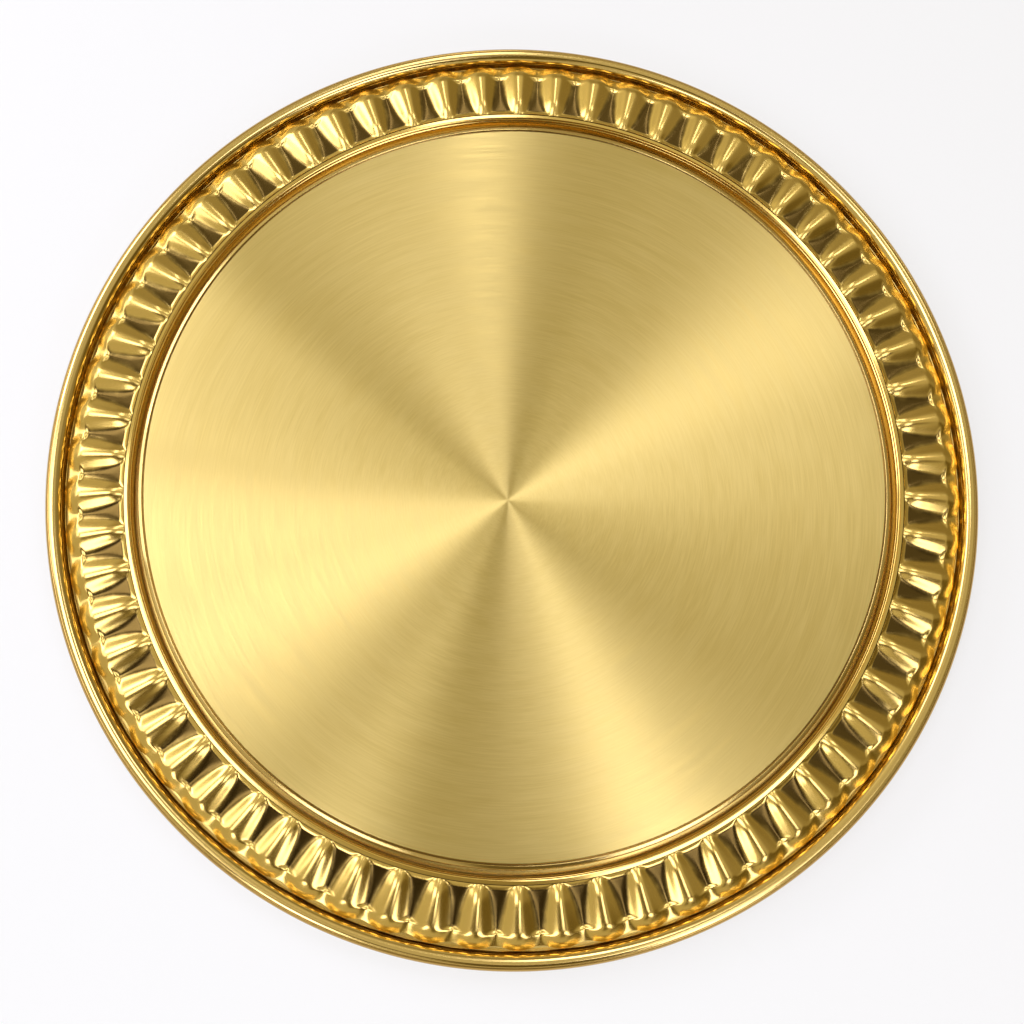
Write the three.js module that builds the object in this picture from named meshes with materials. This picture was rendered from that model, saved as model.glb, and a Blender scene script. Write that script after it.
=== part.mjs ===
// Round brass thali: a floor disc brushed in circles, set in a gadrooned border with a wired rim.
// A pan behind carries the disc, the bead ring and the border, and stands on a low foot ring.
// Lengths are millimetres and +Z is up. The origin is the centre of the foot's resting face.

import * as THREE from "three";

// Plan, from the rim inwards
const PLATE_DIAMETER = 300;
const RIM_BEAD_DIAMETER = 4.8;
const GUTTER_WIDTH = 1.0; // from the lobes' toes to the rim or to the foot of the pan's lip
const BORDER_WIDTH = 18.85; // from the border's inner wall to the lobes' toes
const BEAD_RING_WIDTH = 1.4; // across the ring's base
const BEAD_RING_TOP_WIDTH = 0.95;
const GROOVE_WIDTH = 2.6; // from the bead ring to the floor disc's skirt

// Sheet, wire and foot
const FLOOR_THICKNESS = 1.0;
const FLOOR_SHOULDER_RADIUS = 1.7;
const PAN_THICKNESS = 0.8;
const RIM_SHEET_THICKNESS = 0.7;
const LIP_ANGLE = THREE.MathUtils.degToRad(60); // the pan's lip rises into the rim at this angle
const FOOT_HEIGHT = 4.9;
const FOOT_WIDTH = 3.2; // resting face
const FOOT_FLANGE_WIDTH = 4.6; // soldered face
const FOOT_OFFSET = 3.3; // from the plateau's wall out to the foot

// Heights above the pan's flange
const PLATEAU_RISE = 3.6;
const RIM_STANDOFF = 0.9; // from the flange up to the underside of the rim's bead
const BEAD_RING_HEIGHT = 4.6;
const LOBE_EDGE_HEIGHT = 4.9; // ridge of a lobe at the border's inner wall
const LOBE_CREST_HEIGHT = 6.1;
const LOBE_HEEL_HEIGHT = 4.9; // ridge carried on to the toe, before the toe rounds it off
const FLUTE_EDGE_HEIGHT = 4.7; // flute between two lobes at the border's inner wall
const FLUTE_HEAD_HEIGHT = 4.2; // foot of the scoop that starts a flute
const FLUTE_FOOT_HEIGHT = 3.2; // lowest place of a flute
const FLUTE_LIP_HEIGHT = 4.0; // small lip that ends a flute
const TOE_HEIGHT = 2.0; // edge of the border at the gutter

// Gadroon ornament
const LOBE_COUNT = 66;
const CREST_DISTANCE = 5.6; // from the border's inner wall to the lobes' crests
const SCOOP_LENGTH = 1.7; // from the inner wall down to the head of a flute
const FLUTE_END_DISTANCE = 3.5; // from a flute's small lip to the toes
const FLUTE_LIP_LENGTH = 2.2; // from the lip back to the flute's lowest place
const TOE_ROUNDING = 6; // power of the toe's curve: higher is squarer
const LOBE_SHARE_INNER = 0.5; // convex share of the pitch at the inner wall
const LOBE_SHARE_OUTER = 0.86; // and at the toes
const BEAD_COUNT = 2; // fine beads on the ring's inner face
const BEAD_HEIGHT = 1.1; // of one bead, along the face
const BEAD_PROUD = 0.3;

// Fits
const FIT_GAP = 0.15; // ring to border, rim to lip
const CAP_GAP = 0.2; // floor disc's skirt round the plateau
const WIRE_GAP = 0.15; // wire inside the rolled rim
const SKIRT_GAP = 0.3; // floor disc's skirt above the flange

// Fineness of the facets
const RING_SEGMENTS = 72;
const LOBE_STEPS = 6; // round the plate, for each lobe
const SHOULDER_STEPS = 3;
const BEAD_OUTER_STEPS = 9;
const BEAD_INNER_STEPS = 7;
const WIRE_STEPS = 8;

// Rim
const rimBeadRadius = RIM_BEAD_DIAMETER / 2;
const rimBoreRadius = rimBeadRadius - RIM_SHEET_THICKNESS;
const rimAxisRadius = PLATE_DIAMETER / 2 - rimBeadRadius;
const rimInnerRadius = rimAxisRadius - rimBeadRadius;

// Heights above the table
const flangeBottom = FOOT_HEIGHT;
const flangeTop = flangeBottom + PAN_THICKNESS;
const flangeMiddle = flangeBottom + PAN_THICKNESS / 2;
const plateauTop = flangeTop + PLATEAU_RISE;
const floorTop = plateauTop + FLOOR_THICKNESS;
const rimAxisHeight = flangeTop + RIM_STANDOFF + rimBeadRadius;

// The flange bends up into the lip, which points at the rim's axis
const bendRadius = rimAxisRadius - (rimAxisHeight - flangeMiddle) / Math.tan(LIP_ANGLE);
const bendShift = (PAN_THICKNESS / 2) * Math.tan(LIP_ANGLE / 2);

// Plan radii, from the border inwards
const toeRadius = Math.min(rimInnerRadius, bendRadius - bendShift) - GUTTER_WIDTH;
const borderInnerRadius = toeRadius - BORDER_WIDTH;
const beadRingOuterRadius = borderInnerRadius - FIT_GAP;
const beadRingInnerRadius = beadRingOuterRadius - BEAD_RING_WIDTH;
const floorRadius = beadRingInnerRadius - GROOVE_WIDTH;
const plateauRadius = floorRadius - FLOOR_THICKNESS - CAP_GAP;
const footInnerRadius = plateauRadius + FOOT_OFFSET;

// Places along the border, from 0 at its inner wall to 1 at the toes
const crestPlace = CREST_DISTANCE / BORDER_WIDTH;
const scoopPlace = SCOOP_LENGTH / BORDER_WIDTH;
const fluteLipPlace = 1 - FLUTE_END_DISTANCE / BORDER_WIDTH;
const fluteFootPlace = fluteLipPlace - FLUTE_LIP_LENGTH / BORDER_WIDTH;
const backPlace = (crestPlace + fluteFootPlace) / 2;
const toePlace = (fluteLipPlace + 1) / 2;
const borderPlaces = [0, scoopPlace, crestPlace, backPlace, fluteFootPlace, fluteLipPlace, toePlace, 1];
borderPlaces.sort((one, other) => one - other);

// The floor disc's shoulder is an arc outside and a smaller one with the same centre inside
const shoulderRadius = Math.min(FLOOR_SHOULDER_RADIUS, PLATEAU_RISE - SKIRT_GAP);
const innerShoulderRadius = Math.max(shoulderRadius - FLOOR_THICKNESS, 0);

const brushedBrass = { color: 0xd2b765, roughness: 0.34, metalness: 1 };
const polishedBrass = { color: 0xc79f3f, roughness: 0.14, metalness: 1 };
const rimBrass = { color: 0xc9a548, roughness: 0.18, metalness: 1 };
const plainBrass = { color: 0xb08d3c, roughness: 0.4, metalness: 1 };
const drawnWire = { color: 0xa98a45, roughness: 0.5, metalness: 1 };

const thali = new THREE.Group();

function addPiece(name, geometry, finish) {
  const mesh = new THREE.Mesh(geometry, new THREE.MeshStandardMaterial(finish));
  mesh.name = name;
  thali.add(mesh);
}

// A ring or disc turned from a section of [radius, height] points, listed anticlockwise
function turned(section) {
  const points = section.map(([radius, height]) => new THREE.Vector2(radius, height));
  const outline = points.filter((point, index) => index === 0 || !point.equals(points[index - 1]));
  return new THREE.LatheGeometry(outline, RING_SEGMENTS).rotateX(Math.PI / 2);
}

function closed(section) {
  return [...section, section[0]];
}

// Points on an arc about a centre, both ends included
function arc([radius, height], size, from, to, steps) {
  return Array.from({ length: steps + 1 }, (_, step) => {
    const angle = from + ((to - from) * step) / steps;
    return [radius + size * Math.cos(angle), height + size * Math.sin(angle)];
  });
}

// Floor disc: a shallow cap over the pan's plateau
function floorDisc() {
  const centre = [floorRadius - shoulderRadius, floorTop - shoulderRadius];
  const skirtBottom = flangeTop + SKIRT_GAP;
  return turned([
    [0, plateauTop],
    ...arc(centre, innerShoulderRadius, Math.PI / 2, 0, SHOULDER_STEPS),
    [floorRadius - FLOOR_THICKNESS, skirtBottom],
    [floorRadius, skirtBottom],
    ...arc(centre, shoulderRadius, 0, Math.PI / 2, SHOULDER_STEPS),
    [0, floorTop],
  ]);
}

// Bead ring: a leaning wall with fine beads along its inner face, standing on the flange
function innerBeadRing() {
  const beadPitch = BEAD_RING_HEIGHT / (BEAD_COUNT + 1);
  const halfBead = Math.min(BEAD_HEIGHT, beadPitch) / 2;
  const lean = (BEAD_RING_WIDTH - BEAD_RING_TOP_WIDTH) / BEAD_RING_HEIGHT;
  const faceRadius = (height) => beadRingInnerRadius + lean * height;
  const face = [[faceRadius(0), flangeTop]];
  for (let bead = 1; bead <= BEAD_COUNT; bead += 1) {
    const middle = bead * beadPitch;
    face.push([faceRadius(middle - halfBead), flangeTop + middle - halfBead]);
    face.push([faceRadius(middle) - BEAD_PROUD, flangeTop + middle]);
    face.push([faceRadius(middle + halfBead), flangeTop + middle + halfBead]);
  }
  face.push([faceRadius(BEAD_RING_HEIGHT), flangeTop + BEAD_RING_HEIGHT]);
  const back = [
    [beadRingOuterRadius, flangeTop],
    [beadRingOuterRadius, flangeTop + BEAD_RING_HEIGHT],
  ];
  return turned(closed([...back, ...face.reverse()]));
}

// Height of a lobe's ridge above the flange: a crowned back, rounded off at the toe
function ridgeHeight(place) {
  const before = place < crestPlace;
  const reach = before ? crestPlace : 1 - crestPlace;
  const fall = LOBE_CREST_HEIGHT - (before ? LOBE_EDGE_HEIGHT : LOBE_HEEL_HEIGHT);
  const back = LOBE_CREST_HEIGHT - fall * ((place - crestPlace) / reach) ** 2;
  return TOE_HEIGHT + (back - TOE_HEIGHT) * Math.sqrt(1 - place ** TOE_ROUNDING);
}

// Height of a flute above the flange: a scoop, a long slope, a small lip and the fall to the toe
function fluteHeight(place) {
  const line = [
    [0, FLUTE_EDGE_HEIGHT],
    [scoopPlace, FLUTE_HEAD_HEIGHT],
    [fluteFootPlace, FLUTE_FOOT_HEIGHT],
    [fluteLipPlace, FLUTE_LIP_HEIGHT],
    [1, TOE_HEIGHT],
  ];
  const end = Math.max(1, line.findIndex(([at]) => at >= place));
  const [from, low] = line[end - 1];
  const [to, high] = line[end];
  return THREE.MathUtils.mapLinear(place, from, to, low, high);
}

// Across one lobe, 0 on the ridge and 1 in the flute: two parabolas that meet with one slope
function lobeSection(phase, share) {
  return phase < share ? phase ** 2 / share : 1 - (1 - phase) ** 2 / (1 - share);
}

// Gadroon border: a closed section of rows, carried round the plate while its lobes rise and fall
function gadroonBorder() {
  const columns = LOBE_COUNT * LOBE_STEPS;
  const rows = borderPlaces.length + 2;
  const positions = [];
  for (let column = 0; column < columns; column += 1) {
    const angle = (2 * Math.PI * column) / columns;
    const phase = Math.abs(1 - (2 * (column % LOBE_STEPS)) / LOBE_STEPS); // a flute starts the round
    const section = borderPlaces.map((place) => {
      const share = THREE.MathUtils.lerp(LOBE_SHARE_INNER, LOBE_SHARE_OUTER, place);
      const ridge = ridgeHeight(place);
      const fall = (ridge - fluteHeight(place)) * lobeSection(phase, share);
      return [borderInnerRadius + BORDER_WIDTH * place, flangeTop + ridge - fall];
    });
    section.push([toeRadius, flangeTop], [borderInnerRadius, flangeTop]);
    for (const [radius, height] of section) {
      positions.push(radius * Math.cos(angle), radius * Math.sin(angle), height);
    }
  }
  const faces = [];
  for (let column = 0; column < columns; column += 1) {
    const here = column * rows;
    const next = ((column + 1) % columns) * rows;
    for (let row = 0; row < rows; row += 1) {
      const after = (row + 1) % rows;
      faces.push(here + row, here + after, next + after);
      faces.push(here + row, next + after, next + row);
    }
  }
  const geometry = new THREE.BufferGeometry();
  geometry.setAttribute("position", new THREE.Float32BufferAttribute(positions, 3));
  geometry.setIndex(faces);
  return geometry;
}

// A point beside the line on which the pan's lip runs up to the rim's axis
function besideLip(distance, offset) {
  const along = [-Math.cos(LIP_ANGLE), -Math.sin(LIP_ANGLE)];
  const aside = [-Math.sin(LIP_ANGLE), Math.cos(LIP_ANGLE)];
  return [
    rimAxisRadius + distance * along[0] + offset * aside[0],
    rimAxisHeight + distance * along[1] + offset * aside[1],
  ];
}

// Rim hoop: a strip curled into a bead, open along a slot that clasps the pan's lip.
// Its bore is a polygon drawn round the bore's circle, so that the wire always clears it.
function rimHoop() {
  const axis = [rimAxisRadius, rimAxisHeight];
  const slotDirection = LIP_ANGLE - Math.PI;
  const halfSlot = PAN_THICKNESS / 2 + FIT_GAP;
  const outerHalfAngle = Math.asin(halfSlot / rimBeadRadius);
  const innerSweep = 2 * Math.PI - 2 * Math.asin(halfSlot / rimBoreRadius);
  const boreSize = rimBoreRadius / Math.cos(innerSweep / BEAD_INNER_STEPS / 2);
  const innerHalfAngle = Math.asin(halfSlot / boreSize);
  const turn = 2 * Math.PI;
  const outside = arc(
    axis,
    rimBeadRadius,
    slotDirection + outerHalfAngle,
    slotDirection + turn - outerHalfAngle,
    BEAD_OUTER_STEPS,
  );
  const inside = arc(
    axis,
    boreSize,
    slotDirection + turn - innerHalfAngle,
    slotDirection + innerHalfAngle,
    BEAD_INNER_STEPS,
  );
  return turned(closed([...outside, ...inside]));
}

// Rim wire: a round wire in the middle of the rolled bead
function rimWire() {
  const section = arc([rimAxisRadius, rimAxisHeight], rimBoreRadius - WIRE_GAP, 0, 2 * Math.PI, WIRE_STEPS);
  return turned(closed(section.slice(0, WIRE_STEPS)));
}

// Base pan: a pressed sheet with a raised plateau, a flat flange and a lip that rises into the rim
function basePan() {
  const bevel = innerShoulderRadius;
  const bevelShift = PAN_THICKNESS * Math.tan(Math.PI / 8); // a bevel at 45 degrees, one sheet further in
  const innerWall = plateauRadius - PAN_THICKNESS;
  return turned([
    [0, plateauTop - PAN_THICKNESS],
    [plateauRadius - bevel - bevelShift, plateauTop - PAN_THICKNESS],
    [innerWall, plateauTop - bevel - bevelShift],
    [innerWall, flangeBottom],
    [bendRadius + bendShift, flangeBottom],
    besideLip(rimBoreRadius, -PAN_THICKNESS / 2),
    besideLip(rimBoreRadius, PAN_THICKNESS / 2),
    [bendRadius - bendShift, flangeTop],
    [plateauRadius, flangeTop],
    [plateauRadius, plateauTop - bevel],
    [plateauRadius - bevel, plateauTop],
    [0, plateauTop],
  ]);
}

// Foot ring: a low tapered ring soldered under the flange
function footRing() {
  const taper = (FOOT_FLANGE_WIDTH - FOOT_WIDTH) / 2;
  return turned(closed([
    [footInnerRadius + taper, 0],
    [footInnerRadius + taper + FOOT_WIDTH, 0],
    [footInnerRadius + FOOT_FLANGE_WIDTH, flangeBottom],
    [footInnerRadius, flangeBottom],
  ]));
}

addPiece("floor_disc", floorDisc(), brushedBrass);
addPiece("inner_bead_ring", innerBeadRing(), polishedBrass);
addPiece("gadroon_border", gadroonBorder(), polishedBrass);
addPiece("rim_hoop", rimHoop(), rimBrass);
addPiece("rim_wire", rimWire(), drawnWire);
addPiece("base_pan", basePan(), plainBrass);
addPiece("foot_ring", footRing(), plainBrass);

export default thali;
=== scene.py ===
# %% [markdown]
# # A brass thali, dressed over its solids
# A thali is a round metal plate on which a meal is served. This one has a flat floor brushed in
# circles, a border of polished lobes and a rolled rim. The solids already say where every piece is,
# so this lesson makes finer surfaces in the same places, gives them their finish and lights them.
# Lengths are metres, +Z is up, and the origin is the middle of the foot's resting face.

# %% Load the fixed frame
import math

import bmesh
import bpy
import numpy as np
from mathutils import Matrix, Vector


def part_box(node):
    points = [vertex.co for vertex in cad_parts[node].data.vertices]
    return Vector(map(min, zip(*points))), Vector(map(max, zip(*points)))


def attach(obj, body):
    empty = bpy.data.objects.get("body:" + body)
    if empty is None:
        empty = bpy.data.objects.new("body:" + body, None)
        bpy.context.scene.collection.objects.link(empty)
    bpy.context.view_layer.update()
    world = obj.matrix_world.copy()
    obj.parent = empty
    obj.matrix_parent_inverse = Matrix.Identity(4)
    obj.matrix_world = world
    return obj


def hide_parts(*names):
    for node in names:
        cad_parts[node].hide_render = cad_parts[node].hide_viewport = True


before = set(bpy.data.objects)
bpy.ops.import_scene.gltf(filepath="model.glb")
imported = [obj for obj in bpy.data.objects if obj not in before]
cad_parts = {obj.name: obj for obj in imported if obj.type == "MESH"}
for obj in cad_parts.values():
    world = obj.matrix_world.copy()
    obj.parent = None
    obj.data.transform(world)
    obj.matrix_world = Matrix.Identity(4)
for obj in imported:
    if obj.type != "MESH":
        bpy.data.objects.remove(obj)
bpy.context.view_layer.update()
print("solids:", sorted(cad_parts))

# %% [markdown]
# ## Measures
# A plate is turned work, so nearly every measure is a radius or a height. The outer ones are read
# from the boxes of the solids, and the rest are the widths that a box can't show.

# %% Read radii and heights from the frame
MM = 0.001


def outer_radius(node):
    """Largest distance of a turned solid from the axis."""
    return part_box(node)[1].x


def lowest(node):
    """Height of a solid's underside."""
    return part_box(node)[0].z


def highest(node):
    """Height of a solid's top."""
    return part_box(node)[1].z


floor_radius = outer_radius("floor_disc")
floor_top = highest("floor_disc")
ring_radius = outer_radius("inner_bead_ring")
ring_top = highest("inner_bead_ring")
toe_radius = outer_radius("gadroon_border")
flange_top = lowest("gadroon_border")
rim_radius = outer_radius("rim_hoop")
foot_height = highest("foot_ring")
print(f"plate {2 * rim_radius / MM:.1f} mm across, floor {2 * floor_radius / MM:.1f} mm across")

# %% [markdown]
# ## Surfaces from grids
# Every piece here is a section carried round the axis. It could be a curve with a Screw modifier,
# but a grid of points worked out as one array is exact, and lets the border's section change as it
# goes round. The grid is skinned with four-sided faces; points that fall together on the axis are
# merged, so a disc has a true pole.

# %% A grid becomes a mesh
RING_STEPS = 360
SHARP_ANGLE = math.radians(38)
MERGE_DISTANCE = 0.0005 * MM


def skin(name, points, loop):
    """Lays faces over points[row, column]. A row is a ring round the plate, so columns close on
    themselves; rows close too where the section is a loop. A section listed anticlockwise, with
    radius to the right and height up, gives faces that point outwards."""
    rows, columns = points.shape[:2]
    index = np.arange(rows * columns).reshape(rows, columns)
    index = np.hstack([index, index[:, :1]])
    if loop:
        index = np.vstack([index, index[:1]])
    corners = [index[:-1, :-1], index[:-1, 1:], index[1:, 1:], index[1:, :-1]]
    faces = np.stack(corners, axis=-1).reshape(-1, 4)
    mesh = bpy.data.meshes.new(name)
    mesh.from_pydata(points.reshape(-1, 3), [], faces)
    shape = bmesh.new()
    shape.from_mesh(mesh)
    bmesh.ops.remove_doubles(shape, verts=shape.verts, dist=MERGE_DISTANCE)
    shape.to_mesh(mesh)
    shape.free()
    mesh.polygons.foreach_set("use_smooth", np.ones(len(mesh.polygons), bool))
    mesh.set_sharp_from_angle(angle=SHARP_ANGLE)
    piece = bpy.data.objects.new(name, mesh)
    bpy.context.scene.collection.objects.link(piece)
    return piece


def turned(name, section, loop):
    """Carries a section of (r, z) points round the axis: (r cos a, r sin a, z)."""
    turn = np.linspace(0, 2 * np.pi, RING_STEPS, endpoint=False)
    radius, height = section[:, :1], section[:, 1:]
    points = np.stack([radius * np.cos(turn), radius * np.sin(turn), height + 0 * turn], axis=-1)
    return skin(name, points, loop)


print("steps round the axis:", RING_STEPS)

# %% Sections with softened corners
CORNER_STEPS = 6


def softened(corners):
    """Rounds a section's corners, each given as (r, z, reach). A corner gives way to a parabola
    that leaves its two sides at the reach: (1-t)^2 start + 2t(1-t) corner + t^2 end. A reach of 0
    keeps the corner."""
    corners = np.asarray(corners, float)
    spots, reach = corners[:, :2], corners[:, 2:]
    back = np.roll(spots, 1, axis=0) - spots
    ahead = np.roll(spots, -1, axis=0) - spots
    start = spots + reach * back / np.linalg.norm(back, axis=1, keepdims=True)
    end = spots + reach * ahead / np.linalg.norm(ahead, axis=1, keepdims=True)
    t = np.linspace(0, 1, CORNER_STEPS)[None, :, None]
    curve = (1 - t) ** 2 * start[:, None] + 2 * t * (1 - t) * spots[:, None] + t**2 * end[:, None]
    section = curve.reshape(-1, 2)
    step = np.linalg.norm(np.diff(section, axis=0), axis=1)
    return section[np.r_[True, step > MERGE_DISTANCE]]


print("points on a softened corner:", CORNER_STEPS)


# %% What every piece is given
def mark_hollow(piece, depth):
    """Stores how far down each point lies, 0 on top and 1 in a hollow, for the finish to paint shade
    by.
    """
    value = piece.data.attributes.new("hollow", "FLOAT", "POINT")
    value.data.foreach_set("value", depth.astype(np.float32).ravel())


def place(piece, finish, node, slot):
    """Gives a piece its finish and says which solid it stands for. The argument slot is not used."""
    piece.data.materials.append(finish)
    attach(piece, "root")
    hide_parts(node)
    print(f"{piece.name}: {len(piece.data.polygons)} faces, stands for {node}")


# %% [markdown]
# ## Brass
# Brass is a metal, so its colour is the colour of its reflection: the shader is fully metallic and
# the base colour is the alloy's. What differs from piece to piece is how the surface was worked.
# Each finish is drawn by nodes on object coordinates, so nothing has to be unwrapped. A painted
# picture could do it too, but it would blur close by, and nodes stay sharp at any distance.

# %% Helpers for node finishes
IN_PLANE = (1, 1, 0)
# Places of a mixing node's first, second and result sockets, for colours and for numbers.
MIX_SOCKETS = {"RGBA": (6, 7, 2), "FLOAT": (2, 3, 0)}


def new_finish(name, **sockets):
    """A material with one metallic shader, whose constant sockets are set by name."""
    finish = bpy.data.materials.new(name)
    finish.use_nodes = True
    shader = finish.node_tree.nodes["Principled BSDF"]
    shader.inputs["Metallic"].default_value = 1.0
    for socket, value in sockets.items():
        shader.inputs[socket].default_value = value
    return finish, shader


class Wiring:
    """Short ways to add and join the nodes of one material or world."""

    def __init__(self, owner):
        self.tree = owner.node_tree

    def add(self, kind, **settings):
        node = self.tree.nodes.new(kind)
        for name, value in settings.items():
            setattr(node, name, value)
        return node

    def feed(self, socket, value):
        """Joins a socket to another one, or sets it to a constant."""
        if isinstance(value, bpy.types.NodeSocket):
            self.tree.links.new(value, socket)
        else:
            socket.default_value = value

    def math(self, operation, first, second=0.0):
        node = self.add("ShaderNodeMath", operation=operation)
        self.feed(node.inputs[0], first)
        self.feed(node.inputs[1], second)
        return node.outputs[0]

    def vector(self, operation, first, second=(0, 0, 0)):
        node = self.add("ShaderNodeVectorMath", operation=operation)
        self.feed(node.inputs[0], first)
        self.feed(node.inputs[1], second)
        return node.outputs["Value" if operation == "LENGTH" else "Vector"]

    def object_place(self):
        return self.add("ShaderNodeTexCoord").outputs["Object"]

    def noise(self, place, scale, detail):
        node = self.add("ShaderNodeTexNoise")
        self.feed(node.inputs["Vector"], place)
        node.inputs["Scale"].default_value = scale
        node.inputs["Detail"].default_value = detail
        return node.outputs["Fac"]

    def rings(self, heading, climb, around, across, detail):
        """Lines round an axis: noise whose place is around * heading, lifted by across * climb. It
        changes slowly with the heading and fast with the climb."""
        stretched = self.add("ShaderNodeVectorMath", operation="SCALE")
        self.feed(stretched.inputs[0], heading)
        stretched.inputs["Scale"].default_value = around
        lift = self.add("ShaderNodeCombineXYZ")
        self.feed(lift.inputs["Z"], self.math("MULTIPLY", climb, across))
        return self.noise(self.vector("ADD", stretched.outputs[0], lift.outputs[0]), 1.0, detail)

    def spread(self, value, low, high, to_low=0.0, to_high=1.0):
        """Takes a value from one range to another, with soft ends."""
        node = self.add("ShaderNodeMapRange", interpolation_type="SMOOTHSTEP")
        for socket, number in zip(node.inputs, (value, low, high, to_low, to_high)):
            self.feed(socket, number)
        return node.outputs["Result"]

    def blend(self, share, first, second, kind="RGBA"):
        """The first of two colours or numbers, with a share of the second."""
        node = self.add("ShaderNodeMix", data_type=kind)
        first_socket, second_socket, result = MIX_SOCKETS[kind]
        self.feed(node.inputs["Factor"], share)
        self.feed(node.inputs[first_socket], first)
        self.feed(node.inputs[second_socket], second)
        return node.outputs[result]

    def bump(self, height, strength, distance):
        node = self.add("ShaderNodeBump")
        self.feed(node.inputs["Height"], height)
        node.inputs["Strength"].default_value = strength
        node.inputs["Distance"].default_value = distance
        return node.outputs["Normal"]


print("mixers for:", sorted(MIX_SOCKETS))

# %% [markdown]
# ### Brushed in circles
# The floor was spun against an abrasive, which leaves fine scratches along circles.
# Scratches spread a reflection across themselves, so light fans out from the centre. The shader's
# anisotropy does that when its tangent points along the radius. The scratches themselves are noise
# that is squeezed along the radius and stretched round the circle. The brush didn't turn quite
# about the plate's middle: the fan meets a few millimetres nearer to the viewer. Outside the
# brushing runs a polished band, with a thread between the two painted dark, as painted shade.

# %% The floor's finish
BRUSH_CENTRE = (-3.4 * MM, -8.0 * MM, 0.0)
BAND_WIDTH, BAND_BLUR = 2.1 * MM, 0.1 * MM
THREAD_WIDTH, THREAD_BLUR = 0.75 * MM, 0.2 * MM
BRUSHED_DARK, BRUSHED_LIGHT = (0.80, 0.595, 0.175, 1), (0.90, 0.695, 0.23, 1)
# The second tone, for the thread, is painted shade in the cut line.
BAND_TONE, THREAD_SHADE_TONE = (0.80, 0.57, 0.18, 1), (0.45, 0.31, 0.09, 1)
BRUSHED_SHINE, BRUSHED_DULLNESS, BAND_SHINE = 0.30, 0.42, 0.16
FINE_SHARE = 0.65
TONE_FROM, TONE_TO = 0.25, 0.75
DULL_FROM, DULL_TO = 0.2, 0.8
SCRATCH_STRENGTH, SCRATCH_DEPTH = 0.10, 0.02 * MM

band_inner = floor_radius - BAND_WIDTH
thread_outer = band_inner + THREAD_WIDTH


def brushed_floor():
    """Scratched brass: fine and broad rings about the brush's centre give its tone and dullness.
    From the radius band_inner outwards it is polished, and painted dark as far as thread_outer, as
    painted shade in the cut line."""
    finish, shader = new_finish("brass_brushed", Anisotropic=1.0)
    wire = Wiring(finish)
    spot = wire.object_place()
    from_brush = wire.vector("MULTIPLY", wire.vector("SUBTRACT", spot, BRUSH_CENTRE), IN_PLANE)
    heading = wire.vector("NORMALIZE", from_brush)
    reach = wire.vector("LENGTH", from_brush)
    wire.feed(shader.inputs["Tangent"], heading)

    fine = wire.rings(heading, reach, around=7.0, across=2600.0, detail=3.0)
    broad = wire.rings(heading, reach, around=3.0, across=420.0, detail=3.0)
    fine_part = wire.math("MULTIPLY", fine, FINE_SHARE)
    broad_part = wire.math("MULTIPLY", broad, 1 - FINE_SHARE)
    both = wire.math("ADD", fine_part, broad_part)

    radius = wire.vector("LENGTH", wire.vector("MULTIPLY", spot, IN_PLANE))
    band = wire.spread(radius, band_inner - BAND_BLUR, band_inner)
    within_thread = wire.spread(radius, thread_outer - THREAD_BLUR, thread_outer, 1.0, 0.0)
    thread_shade = wire.math("MULTIPLY", band, within_thread)

    tone = wire.blend(wire.spread(both, TONE_FROM, TONE_TO), BRUSHED_DARK, BRUSHED_LIGHT)
    tone = wire.blend(band, tone, BAND_TONE)
    # The thread is painted dark: painted shade.
    wire.feed(shader.inputs["Base Color"], wire.blend(thread_shade, tone, THREAD_SHADE_TONE))
    rough = wire.spread(both, DULL_FROM, DULL_TO, BRUSHED_SHINE, BRUSHED_DULLNESS)
    wire.feed(shader.inputs["Roughness"], wire.blend(band, rough, BAND_SHINE, "FLOAT"))
    wire.feed(shader.inputs["Normal"], wire.bump(fine, SCRATCH_STRENGTH, SCRATCH_DEPTH))
    return finish


floor_finish = brushed_floor()
print("finish:", floor_finish.name)

# %% [markdown]
# ### Polished lobes
# The border was buffed on a soft wheel, so its tops are bright. The hollows are painted a deeper,
# duller tone: painted shade, for the shade and dark reflections in the flutes. The mesh carries a
# value named hollow that says how far down a point lies, and the finish reads it. The bead ring is
# buffed too, brighter, and has a little painted shade at its foot.

# %% The finishes of border and ring
BUFFED_TONE = (0.86, 0.595, 0.15, 1)
SHADE_FROM, SHADE_TO = 0.66, 0.95
SMUDGE_SCALE, SMUDGE_DETAIL, SMUDGE_SHARE = 160.0, 4.0, 0.3
SMUDGE_MIDDLE = 0.5


def polished(name, shine, dullness, shade_tone):
    """Buffed brass that is duller and painted a darker tone, painted shade, where the value hollow is
    near 1. A little noise smudges the line between the tones."""
    finish, shader = new_finish(name)
    wire = Wiring(finish)
    hollow = wire.add("ShaderNodeAttribute", attribute_name="hollow").outputs["Fac"]
    smudge = wire.noise(wire.object_place(), SMUDGE_SCALE, SMUDGE_DETAIL)
    wander = wire.math("MULTIPLY", wire.math("SUBTRACT", smudge, SMUDGE_MIDDLE), SMUDGE_SHARE)
    depth = wire.math("ADD", hollow, wander)
    tone = wire.blend(wire.spread(depth, SHADE_FROM, SHADE_TO), BUFFED_TONE, shade_tone)
    wire.feed(shader.inputs["Base Color"], tone)
    wire.feed(shader.inputs["Roughness"], wire.spread(depth, 0.0, 1.0, shine, dullness))
    return finish


# The darker tones are painted shade: near black in the border's flutes and gutter, slight at the
# ring's foot.
border_finish = polished("brass_polished", shine=0.20, dullness=0.21, shade_tone=(0.13, 0.08, 0.018, 1))
ring_finish = polished("brass_ring", shine=0.09, dullness=0.16, shade_tone=(0.60, 0.40, 0.095, 1))
print("finishes:", border_finish.name, ring_finish.name)
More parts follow.
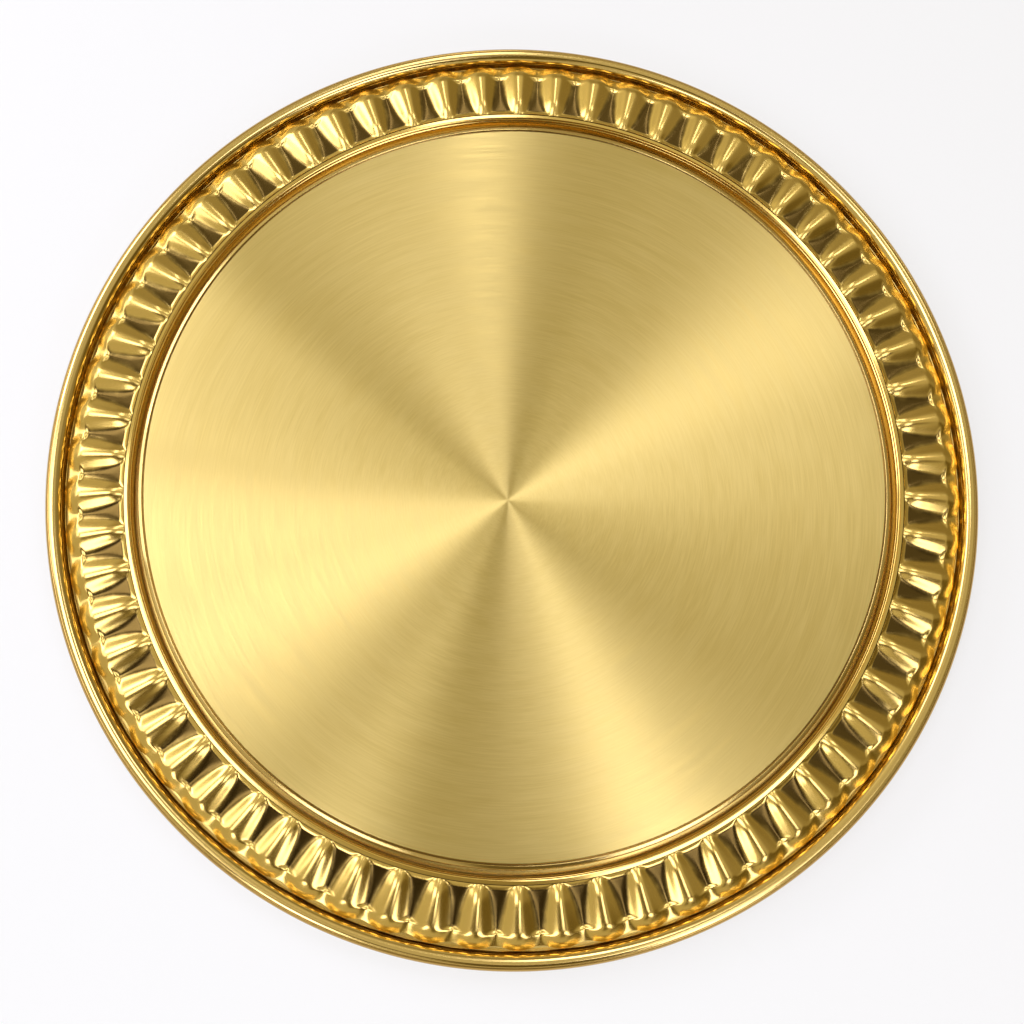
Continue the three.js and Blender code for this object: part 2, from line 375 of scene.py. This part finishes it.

# %% [markdown]
# ### Rolled rim and turned back
# The rim was burnished on the lathe, and the back was only turned: both keep fine lines round the
# plate. The lines are noise that is stretched along the circle, as on the floor, but the surfaces
# are not flat, so radius and height together count the lines. Outside its crease the rim is painted
# a darker tone, which is painted shade on its outer side.

# %% Finishes with turned lines
LINES_AROUND, LINES_DETAIL = 4.0, 2.0
LINE_FROM, LINE_TO = 0.3, 0.7
LINE_STRENGTH, LINE_DEPTH = 0.015, 0.01 * MM
RIM_CREASE_INSET, RIM_CREASE_BLUR = 1.55 * MM, 0.1 * MM


def turned_finish(name, light, dark, shine, dullness, lines, outer_shade=None, outer_from=None):
    """Brass with fine lines round the axis: noise over the heading and over radius plus height.
    Past the radius outer_from it takes a darker tone, painted shade."""
    finish, shader = new_finish(name)
    wire = Wiring(finish)
    spot = wire.object_place()
    flat = wire.vector("MULTIPLY", spot, IN_PLANE)
    radius = wire.vector("LENGTH", flat)
    parts = wire.add("ShaderNodeSeparateXYZ")
    wire.feed(parts.inputs[0], spot)
    climb = wire.math("ADD", radius, parts.outputs["Z"])
    heading = wire.vector("NORMALIZE", flat)
    line = wire.rings(heading, climb, LINES_AROUND, lines, LINES_DETAIL)
    tone = wire.blend(wire.spread(line, LINE_FROM, LINE_TO), dark, light)
    if outer_shade:
        past = wire.spread(radius, outer_from, outer_from + RIM_CREASE_BLUR)
        tone = wire.blend(past, tone, outer_shade)
    wire.feed(shader.inputs["Base Color"], tone)
    wire.feed(shader.inputs["Roughness"], wire.spread(line, LINE_FROM, LINE_TO, dullness, shine))
    wire.feed(shader.inputs["Normal"], wire.bump(line, LINE_STRENGTH, LINE_DEPTH))
    return finish


rim_finish = turned_finish(
    "brass_rim",
    light=(0.85, 0.61, 0.19, 1),
    dark=(0.82, 0.58, 0.175, 1),
    shine=0.11,
    dullness=0.14,
    lines=3200.0,
    # The rim's outer side is painted darker: painted shade.
    outer_shade=(0.52, 0.33, 0.085, 1),
    outer_from=rim_radius - RIM_CREASE_INSET,
)
# The back's darker tone is painted shade, for the groove and the gutter where the pan shows.
shaded_back_finish = turned_finish(
    "brass_back",
    light=(0.60, 0.42, 0.105, 1),
    dark=(0.55, 0.375, 0.09, 1),
    shine=0.18,
    dullness=0.30,
    lines=1800.0,
)
wire_finish = turned_finish(
    "brass_wire",
    light=(0.70, 0.54, 0.24, 1),
    dark=(0.60, 0.45, 0.18, 1),
    shine=0.30,
    dullness=0.45,
    lines=2400.0,
)
print("finishes:", rim_finish.name, shaded_back_finish.name, wire_finish.name)

# %% [markdown]
# ## Floor disc
# The floor is a spun disc whose edge is turned down over the pan. Between the brushed top and the
# polished edge band the turner cut a fine line, which is painted dark in the finish as painted
# shade. A flat cylinder with a Bevel modifier would have the edge but not the thread, so the section
# is drawn: it runs from the middle of the underside, round the edge, to the middle of the top.

# %% Build the floor disc
FLOOR_SHEET = 1.0 * MM
BAND_FOOT_DROP, BAND_TOP_DROP = 0.6 * MM, 0.2 * MM
THREAD_DEPTH = 0.6 * MM
SHEET_BEND, CUT_EDGE = 0.4 * MM, 0.1 * MM
BAND_ROUND, THREAD_LIP, BRUSHED_EDGE = 0.5 * MM, 0.12 * MM, 0.3 * MM
FLOOR_RINGS = 12

skirt_bottom = lowest("floor_disc")
floor_under = floor_top - FLOOR_SHEET
band_foot = floor_top - BAND_FOOT_DROP
edge_section = softened(
    [
        (0.0, floor_under, 0.0),
        (band_inner - FLOOR_SHEET, floor_under, SHEET_BEND),
        (floor_radius - FLOOR_SHEET, band_foot - FLOOR_SHEET / 2, SHEET_BEND),
        (floor_radius - FLOOR_SHEET, skirt_bottom, CUT_EDGE),
        (floor_radius, skirt_bottom, CUT_EDGE),
        (floor_radius, band_foot, BAND_ROUND),
        (thread_outer, floor_top - BAND_TOP_DROP, THREAD_LIP),
        (band_inner + THREAD_WIDTH / 2, floor_top - THREAD_DEPTH, CUT_EDGE),
        (band_inner, floor_top, BRUSHED_EDGE),
        (0.0, floor_top, 0.0),
    ]
)
middle_rings = np.linspace(edge_section[-2, 0], 0, FLOOR_RINGS)[1:-1]
flat_rows = np.stack([middle_rings, np.full_like(middle_rings, floor_top)], axis=1)
floor_section = np.vstack([edge_section[:-1], flat_rows, edge_section[-1:]])
floor_piece = turned("floor_disc_brushed", floor_section, loop=False)
place(floor_piece, floor_finish, "floor_disc", "brushed_floor")

# %% [markdown]
# ## Bead ring
# A narrow ring lines the border's inner wall. Its face leans back a little and carries two fine
# beads, which catch the light as two bright threads. The beads could be two thin rings set on a
# plain band, but on the real ring they are rolled from the same strip, so one section holds all.

# %% Build the bead ring
RING_BASE_WIDTH, RING_TOP_WIDTH = 1.4 * MM, 0.95 * MM
BEADS = (2.2 * MM, 3.7 * MM)
BEAD_HALF_HEIGHT, BEAD_PROUD = 0.5 * MM, 0.42 * MM
RING_DULL_FROM, RING_DULL_TO = 1.4 * MM, 2.4 * MM
FACE_STEPS = 90

ring_height = ring_top - flange_top


def ring_face(up):
    """Radius of the face at a height above the flange: a leaning line, less a half-ellipse for
    each bead, proud * sqrt(1 - (distance / half height)^2)."""
    lean = (RING_BASE_WIDTH - RING_TOP_WIDTH) / ring_height
    radius = ring_radius - RING_BASE_WIDTH + lean * up
    for bead in BEADS:
        from_bead = (up - bead) / BEAD_HALF_HEIGHT
        radius = radius - BEAD_PROUD * np.sqrt(np.clip(1 - from_bead**2, 0, 1))
    return radius


climb = np.linspace(ring_height, 0, FACE_STEPS)
face = np.stack([ring_face(climb), flange_top + climb], axis=1)
ring_back = np.array([(ring_radius, flange_top), (ring_radius, ring_top)])
ring_piece = turned("bead_ring", np.vstack([ring_back, face]), loop=True)
up = np.r_[0, ring_height, climb]
# The ring is painted darker towards its foot, by the groove: painted shade.
foot_shade_share = np.clip((RING_DULL_TO - up) / (RING_DULL_TO - RING_DULL_FROM), 0, 1)
mark_hollow(ring_piece, np.repeat(foot_shade_share, RING_STEPS))
place(ring_piece, ring_finish, "inner_bead_ring", "polished_border")

# %% [markdown]
# ## Gadroon border
# Gadroons are the rounded lobes of the border: each is a ridge that starts narrow at the inner
# wall, widens outwards and ends in a round toe, with a scooped flute on either side. A lobe could be
# sculpted once and copied round, but then the copies would have seams. Here the height is a formula
# of two parameters, the place s from the inner wall to the toe and the phase u from a ridge to the
# next flute, so the border is one surface without a seam.

# %% The lines of ridge and flute
EDGE_HEIGHT, RIDGE_CREST, RIDGE_HEEL = 4.9 * MM, 6.05 * MM, 5.2 * MM
CREST_PLACE = 0.30
TOE_START, TOE_FALL, TOE_POWER = 0.73, 2.1 * MM, 1.4
FLUTE_HEAD, FLUTE_FOOT, FLUTE_LIP, FLUTE_END = 4.2 * MM, 3.2 * MM, 3.75 * MM, 2.9 * MM
HEAD_PLACE, FOOT_PLACE, LIP_PLACE = 0.11, 0.735, 0.805


def share(s, start, end):
    """Share of the way from start to end, in a straight line."""
    return np.clip((s - start) / (end - start), 0, 1)


def eased(s, start, end):
    """Share of the way from start to end, 3t^2 - 2t^3, flat at both ends."""
    t = share(s, start, end)
    return t * t * (3 - 2 * t)


def ridge_line(s):
    """Height of a ridge: a crowned back made of two parabolas, less the toe's fall, which is the
    share t of the way along the toe raised to the toe's power."""
    before = s < CREST_PLACE
    reach = np.where(before, CREST_PLACE, 1 - CREST_PLACE)
    fall = RIDGE_CREST - np.where(before, EDGE_HEIGHT, RIDGE_HEEL)
    back = RIDGE_CREST - fall * ((s - CREST_PLACE) / reach) ** 2
    return back - TOE_FALL * share(s, TOE_START, 1) ** TOE_POWER


def flute_line(s):
    """Height of a flute: a scoop that falls as (1 - t)^2, a long slope, a cupped end, the toe."""
    scoop = (EDGE_HEIGHT - FLUTE_HEAD) * (1 - share(s, 0, HEAD_PLACE)) ** 2
    slope = (FLUTE_FOOT - FLUTE_HEAD) * share(s, HEAD_PLACE, FOOT_PLACE)
    lip = (FLUTE_LIP - FLUTE_FOOT) * eased(s, FOOT_PLACE, LIP_PLACE)
    toe = (FLUTE_END - FLUTE_LIP) * share(s, LIP_PLACE, 1)
    return FLUTE_HEAD + scoop + slope + lip + toe


crest_rise = ridge_line(CREST_PLACE) - flute_line(CREST_PLACE)
print(f"a ridge's crest stands {crest_rise / MM:.2f} mm above the flutes beside it")

# %% The form across a lobe
LOBE_INNER, LOBE_GAIN, LOBE_GROWTH = 0.27, 0.70, 0.5
ROUND_START, ROUND_END, ROUND_DEPTH = 0.77, 1.06, 0.98
BLUNT_INNER, BLUNT_OUTER, BLUNT_PLACE = 1.6, 0.85, 0.4
CORNER = 4


def lobe_width(s):
    """Share of a pitch that a lobe takes up: inner + gain * s^growth, drawn in at the toe by the
    quarter-ellipse sqrt(1 - depth * t^2)."""
    rounding = np.sqrt(1 - ROUND_DEPTH * share(s, ROUND_START, ROUND_END) ** 2)
    return (LOBE_INNER + LOBE_GAIN * s**LOBE_GROWTH) * rounding


def across_lobe(u, s):
    """0 on the ridge and 1 in the flute. With x = u / width, the lobe falls as the hyperbola
    f = (sqrt(x^2 + b^2) - b) / (sqrt(1 + b^2) - b): blunt where b is large, and with flat flanks
    where it is small. f / (1 + f^m)^(1/m) bends that over into the flute."""
    x = u / lobe_width(s)
    b = BLUNT_INNER + (BLUNT_OUTER - BLUNT_INNER) * eased(s, 0, BLUNT_PLACE)
    fall = (np.sqrt(x**2 + b**2) - b) / (np.sqrt(1 + b**2) - b)
    return fall / (1 + fall**CORNER) ** (1 / CORNER)


print(f"a lobe's width grows from {lobe_width(0):.2f} to {lobe_width(ROUND_START):.2f} of a pitch")

# %% Build the border
LOBES = 66
BORDER_WIDTH = 18.85 * MM
SCALLOP, NOTCH_POWER = 1.2 * MM, 1.5
HOLLOW_FROM, HOLLOW_TO = 0.02, 0.1
LOBE_STEPS, BACK_ROWS, TOE_ROWS = 28, 38, 13

turn = np.linspace(0, 2 * np.pi, LOBES * LOBE_STEPS, endpoint=False)
phase = np.abs((turn * LOBES / np.pi) % 2 - 1)
# Rows stand closer together near the inner wall, where the flutes are scooped.
back_part = TOE_START * (1 - np.cos(np.linspace(0, np.pi / 2, BACK_ROWS)))
s = np.r_[back_part, np.linspace(TOE_START, 1, TOE_ROWS)[1:]][:, None]
fall_share = across_lobe(phase, s)
ridge = ridge_line(s)
top = flange_top + ridge - (ridge - flute_line(s)) * fall_share
inner_wall = toe_radius - BORDER_WIDTH
# The toes' outline is notched between lobes, as ((1 - cos(pi u)) / 2)^power.
notch = (0.5 - 0.5 * np.cos(np.pi * phase)) ** NOTCH_POWER
reach = inner_wall + (BORDER_WIDTH - SCALLOP * notch) * s
radius = np.vstack([reach, reach[-1:], np.full((1, turn.size), inner_wall)])
height = np.vstack([top, np.full((2, turn.size), flange_top)])
lobes = np.stack([radius * np.cos(turn), radius * np.sin(turn), height], axis=-1)
border_piece = skin("gadroon_lobes", lobes[::-1], loop=True)
# Painted shade: the flutes, the toe wall and the underside are marked to be painted dark.
along_flute = eased(s, HOLLOW_FROM, HOLLOW_TO) * (1 - eased(s, FOOT_PLACE, LIP_PLACE))
hollow = np.vstack([fall_share * along_flute, np.ones((2, turn.size))])
mark_hollow(border_piece, hollow[::-1])
place(border_piece, border_finish, "gadroon_border", "polished_border")

# %% [markdown]
# ## Rolled rim
# The plate's edge is a strip curled round a wire, which stiffens it. A torus would show the bead,
# but not how it is closed, so the section is an open arc: it leaves a slot at the bottom, where it
# clasps the lip of the pan. A fine crease was turned into the bead, with two shallow lines beside it.

# %% Build the rim
BEAD_RADIUS, BEAD_SHEET = 2.4 * MM, 0.7 * MM
RIM_STANDOFF = 0.9 * MM
SLOT_HALF_WIDTH = 0.55 * MM
LIP_ANGLE = math.radians(60)
OUTSIDE_STEPS, INSIDE_STEPS = 160, 40
# Angle round the bead in degrees, depth, and half width in degrees.
CREASES = ((68, 0.13 * MM, 3.4), (80, 0.02 * MM, 5.0), (97, 0.02 * MM, 5.0))

rim_axis = np.array([rim_radius - BEAD_RADIUS, flange_top + RIM_STANDOFF + BEAD_RADIUS])
slot_heading = LIP_ANGLE - np.pi
bead_inside = BEAD_RADIUS - BEAD_SHEET


def bead_outline(size, steps):
    """Angles of an arc about the rim's axis that leaves the slot open."""
    half = math.asin(SLOT_HALF_WIDTH / size)
    return np.linspace(slot_heading + half, slot_heading + 2 * np.pi - half, steps)


def crease_depth(angle):
    """Depth of the turned lines at an angle round the bead: a narrow bell curve for each,
    depth * exp(-(distance / half width)^2)."""
    degrees = np.degrees(angle)
    depth = np.zeros_like(degrees)
    for middle, deepest, half_width in CREASES:
        depth += deepest * np.exp(-(((degrees - middle) / half_width) ** 2))
    return depth


outside = bead_outline(BEAD_RADIUS, OUTSIDE_STEPS)
inside = bead_outline(bead_inside, INSIDE_STEPS)[::-1]
size = np.r_[BEAD_RADIUS - crease_depth(outside), np.full(inside.size, bead_inside)]
angle = np.r_[outside, inside]
rim_section = rim_axis + size[:, None] * np.stack([np.cos(angle), np.sin(angle)], axis=1)
rim_piece = turned("rolled_rim_bead", rim_section, loop=True)
place(rim_piece, rim_finish, "rim_hoop", "rolled_rim")

# %% [markdown]
# ## Pan and foot
# The pan is the sheet behind everything: a plateau under the floor, a flat flange under the border
# and a lip that rises into the rim. The foot is a low ring soldered under the flange. From above
# only the bottoms of the groove and of the gutter show, but from below they are all there is to see.
# A Solidify modifier could give a line its sheet, but both sides are drawn here, so that the bends
# can be wider outside than inside.

# %% Build the pan
PAN_SHEET = 0.8 * MM
PLATEAU_INSET = 1.2 * MM
PLATEAU_BEND, PLATEAU_UNDER_BEND = 1.2 * MM, 1.5 * MM
FLANGE_BEND, LIP_UNDER_BEND = 0.3 * MM, 0.6 * MM

plateau_radius = floor_radius - PLATEAU_INSET
plateau_top = floor_under
plateau_under = plateau_top - PAN_SHEET
flange_under = flange_top - PAN_SHEET
lip_way = np.array([math.cos(LIP_ANGLE), math.sin(LIP_ANGLE)])
lip_side = np.array([-lip_way[1], lip_way[0]])
lip_end = rim_axis - bead_inside * lip_way
lip_end_under = lip_end - PAN_SHEET / 2 * lip_side
lip_end_top = lip_end + PAN_SHEET / 2 * lip_side
lip_drop = rim_axis[1] - flange_top + PAN_SHEET / 2
lip_foot_radius = rim_axis[0] - lip_drop / math.tan(LIP_ANGLE)
lip_shift = PAN_SHEET / 2 * math.tan(LIP_ANGLE / 2)
pan_section = softened(
    [
        (0.0, plateau_under, 0.0),
        (plateau_radius - PAN_SHEET, plateau_under, PLATEAU_UNDER_BEND),
        (plateau_radius - PAN_SHEET, flange_under, SHEET_BEND),
        (lip_foot_radius + lip_shift, flange_under, LIP_UNDER_BEND),
        (*lip_end_under, CUT_EDGE),
        (*lip_end_top, CUT_EDGE),
        (lip_foot_radius - lip_shift, flange_top, FLANGE_BEND),
        (plateau_radius, flange_top, FLANGE_BEND),
        (plateau_radius, plateau_top, PLATEAU_BEND),
        (0.0, plateau_top, 0.0),
    ]
)
pan_piece = turned("back_pan", pan_section, loop=False)
# Its darker tone is painted shade in the groove and the gutter.
place(pan_piece, shaded_back_finish, "base_pan", "plain_back")

# %% Build the foot and finish the wire
FOOT_INSET = 3.3 * MM
FOOT_FLANGE, FOOT_FACE = 4.6 * MM, 3.2 * MM
FOOT_ROUND, FOOT_TOP_ROUND = 0.5 * MM, 0.2 * MM

foot_inner = plateau_radius + FOOT_INSET
foot_taper = (FOOT_FLANGE - FOOT_FACE) / 2
foot_section = softened(
    [
        (foot_inner + foot_taper, 0.0, FOOT_ROUND),
        (foot_inner + foot_taper + FOOT_FACE, 0.0, FOOT_ROUND),
        (foot_inner + FOOT_FLANGE, foot_height, FOOT_TOP_ROUND),
        (foot_inner, foot_height, FOOT_TOP_ROUND),
    ]
)
foot_piece = turned("foot", foot_section, loop=True)
place(foot_piece, shaded_back_finish, "foot_ring", "plain_back")
wire_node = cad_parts["rim_wire"]
wire_node.data.materials.clear()
wire_node.data.materials.append(wire_finish)
print("rim_wire keeps its solid, with finish", wire_finish.name)

# %% [markdown]
# ## Table
# The plate stands on a white table. Its colour alone would be grey where the light is weak, so rays
# from the camera and from the metal see it mostly as plain white, mixed with some of the lit
# surface, which keeps the plate's soft shadow.

# %% Build the table
TABLE_HALF = 12.0
TABLE_TONE, TABLE_ROUGHNESS = (0.97, 0.965, 0.90, 1), 0.9
TABLE_WHITE_SHARE = 0.62

table_mesh = bpy.data.meshes.new("table")
table_corners = np.array([(-1, -1, 0), (1, -1, 0), (1, 1, 0), (-1, 1, 0)], float) * TABLE_HALF
table_mesh.from_pydata(table_corners, [], [(0, 1, 2, 3)])
table = bpy.data.objects.new("table", table_mesh)
bpy.context.scene.collection.objects.link(table)
paper = bpy.data.materials.new("white_table")
paper.use_nodes = True
wire = Wiring(paper)
paint = paper.node_tree.nodes["Principled BSDF"]
paint.inputs["Base Color"].default_value = TABLE_TONE
paint.inputs["Roughness"].default_value = TABLE_ROUGHNESS
rays = wire.add("ShaderNodeLightPath")
seen = wire.math("MAXIMUM", rays.outputs["Is Camera Ray"], rays.outputs["Is Glossy Ray"])
seen = wire.math("MAXIMUM", seen, rays.outputs["Is Transmission Ray"])
white = wire.add("ShaderNodeEmission")
mixed = wire.add("ShaderNodeMixShader")
wire.feed(mixed.inputs[0], wire.math("MULTIPLY", seen, TABLE_WHITE_SHARE))
wire.feed(mixed.inputs[1], paint.outputs[0])
wire.feed(mixed.inputs[2], white.outputs[0])
wire.feed(paper.node_tree.nodes["Material Output"].inputs["Surface"], mixed.outputs[0])
table_mesh.materials.append(paper)
print("table:", 2 * TABLE_HALF, "m square")

# %% [markdown]
# ## Light
# Polished metal shows the room, so the light is laid out as the metal should see it: soft boxes at
# given angles from straight up, over a grey room. Angles are taken to the right and away from the
# viewer. The far boxes draw the streaks of the floor's fan. The close ones light the flanks of the
# lobes, and because they are close, each side of the border sees them at another angle. A box's
# strength is the brightness of its face.

# %% Soft boxes
FAR_OFF, CLOSE_BY = 1.6, 0.6
BOX_TINT = (1.0, 1.03, 1.42)
plate_middle = Vector((0, 0, floor_top))


def soft_box(name, right, away, strength, distance):
    """A lamp whose face lies between the given angles, in degrees, to the right and away from
    straight up. Its power is strength * pi * area."""
    middle = [math.radians(sum(pair) / 2) for pair in (right, away)]
    spread = [math.radians(pair[1] - pair[0]) for pair in (right, away)]
    heading = Vector((math.tan(middle[0]), math.tan(middle[1]), 1)).normalized()
    across = Vector((0, 1, 0)).cross(heading).normalized()
    along = heading.cross(across)
    lamp = bpy.data.lights.new(name, "AREA")
    lamp.shape = "RECTANGLE"
    lamp.size = 2 * distance * math.tan(spread[0] / 2)
    lamp.size_y = 2 * distance * math.tan(spread[1] / 2)
    lamp.energy = strength * math.pi * lamp.size * lamp.size_y
    lamp.color = BOX_TINT
    box = bpy.data.objects.new(name, lamp)
    turn_to = Matrix((across, along, heading)).transposed().to_4x4()
    box.matrix_world = Matrix.Translation(plate_middle + distance * heading) @ turn_to
    box.visible_camera = False
    bpy.context.scene.collection.objects.link(box)


soft_box("left_box", (-36, -10), (-10, 10), 3.2, FAR_OFF)
soft_box("near_right_box", (7, 20), (-25, -6), 3.2, FAR_OFF)
soft_box("far_right_box", (17, 29), (18, 27), 3.4, FAR_OFF)
soft_box("far_box", (-4.5, 1.5), (22, 48), 3.4, FAR_OFF)
soft_box("left_low_box", (-42, -26), (-57, -42), 3.5, CLOSE_BY)
soft_box("right_low_box", (25, 40), (-58, -42), 3.5, CLOSE_BY)
soft_box("left_high_box", (-60, -43), (26, 48), 3.6, CLOSE_BY)
soft_box("left_side_box", (-66, -50), (2, 22), 1.8, CLOSE_BY)
print("boxes:", [lamp.name for lamp in bpy.data.lights])

# %% [markdown]
# The room behind the boxes is grey and warm. It is brighter to the far left and a little beside the
# far box, dimmer all along the right and low beyond the far box, and nearly black in two patches on
# the near side of straight up. The flutes nearest to the viewer mirror those two and look dark. A
# picture of a real room could be used instead, but soft rectangles can be set one by one.

# %% The room's patches
ROOM_LEVEL, DEEPEST_LEVEL = 0.54, 0.02
ROOM_TINT, DEEP_TINT = (1.0, 0.93, 0.76, 1), (1.0, 0.74, 0.20, 1)
DEEP_TINT_LEVEL, ROOM_TINT_LEVEL = 0.05, 0.5
# Angles to the right and away in degrees, softness in degrees, and gain.
PATCHES = (
    ((-82, -36), (18, 60), 7, 0.25),
    ((-40, -14), (12, 40), 6, 0.08),
    ((6, 34), (22, 50), 5, 0.10),
    ((42, 120), (-10, 30), 7, -0.22),
    ((36, 120), (30, 78), 7, -0.28),
    ((40, 120), (-70, -10), 7, -0.40),
    ((-34, 34), (50, 85), 6, -0.20),
    ((-28, 32), (-29, -11), 3, -0.44),
    ((-6, 26), (-62, -29), 3, -0.42),
)

world = bpy.data.worlds.new("grey_room")
world.use_nodes = True
bpy.context.scene.world = world
room = Wiring(world)
way = room.add("ShaderNodeSeparateXYZ")
room.feed(way.inputs[0], room.add("ShaderNodeTexCoord").outputs["Generated"])
to_right = room.math("DEGREES", room.math("ARCTAN2", way.outputs["X"], way.outputs["Z"]))
to_far = room.math("DEGREES", room.math("ARCTAN2", way.outputs["Y"], way.outputs["Z"]))


def between(angle, low, high, soft):
    """1 where an angle lies between two others, with soft ends."""
    rise = room.spread(angle, low - soft, low + soft)
    fall = room.spread(angle, high - soft, high + soft, 1.0, 0.0)
    return room.math("MULTIPLY", rise, fall)


def patch(right, away, soft, gain):
    """A soft rectangle of the room that is brighter or darker by the gain."""
    within = room.math("MULTIPLY", between(to_right, *right, soft), between(to_far, *away, soft))
    return room.math("MULTIPLY", within, gain)


level = ROOM_LEVEL
for right, away, soft, gain in PATCHES:
    level = room.math("ADD", patch(right, away, soft, gain), level)
level = room.math("MAXIMUM", level, DEEPEST_LEVEL)
lightness = room.spread(level, DEEP_TINT_LEVEL, ROOM_TINT_LEVEL)
sky = world.node_tree.nodes["Background"]
room.feed(sky.inputs["Color"], room.blend(lightness, DEEP_TINT, ROOM_TINT))
room.feed(sky.inputs["Strength"], level)
print("room level", ROOM_LEVEL, "with", len(PATCHES), "patches")

# %% [markdown]
# ## Camera
# The picture was taken from nearly overhead. The camera's tilt, turn and lens come from the ellipses
# that the rim, the gutter, the ring and the floor's edge make in the picture. The plate doesn't lie
# on the lens axis, so the frame is shifted a little.

# %% Place the camera
PICTURE = 1024
SENSOR = 36.0
LENS_PIXELS = 1053.5
AXIS_PIXEL = (518.4, 476.3)
CAMERA_DISTANCE = 340 * MM
CAMERA_TILT = math.radians(10.01)
CAMERA_TURN = math.radians(100.8)
AIM_HEIGHT = 9.0 * MM
NEAREST_SEEN = 10 * MM

lean = math.sin(CAMERA_TILT)
back = Vector((lean * math.cos(CAMERA_TURN), -lean * math.sin(CAMERA_TURN), math.cos(CAMERA_TILT)))
sideways = Vector((0, 1, 0)).cross(back).normalized()
upwards = back.cross(sideways)
lens = bpy.data.cameras.new("overhead")
lens.sensor_width = SENSOR
lens.lens = LENS_PIXELS * SENSOR / PICTURE
lens.shift_x = (PICTURE / 2 - AXIS_PIXEL[0]) / PICTURE
lens.shift_y = (AXIS_PIXEL[1] - PICTURE / 2) / PICTURE
lens.clip_start = NEAREST_SEEN
camera = bpy.data.objects.new("overhead", lens)
turned_to = Matrix((sideways, upwards, back)).transposed().to_4x4()
stand = Vector((0, 0, AIM_HEIGHT)) + CAMERA_DISTANCE * back
camera.matrix_world = Matrix.Translation(stand) @ turned_to
bpy.context.scene.collection.objects.link(camera)
bpy.context.scene.camera = camera
bpy.context.scene.view_settings.view_transform = "Standard"
print("camera at", tuple(round(x / MM, 1) for x in stand), "mm")
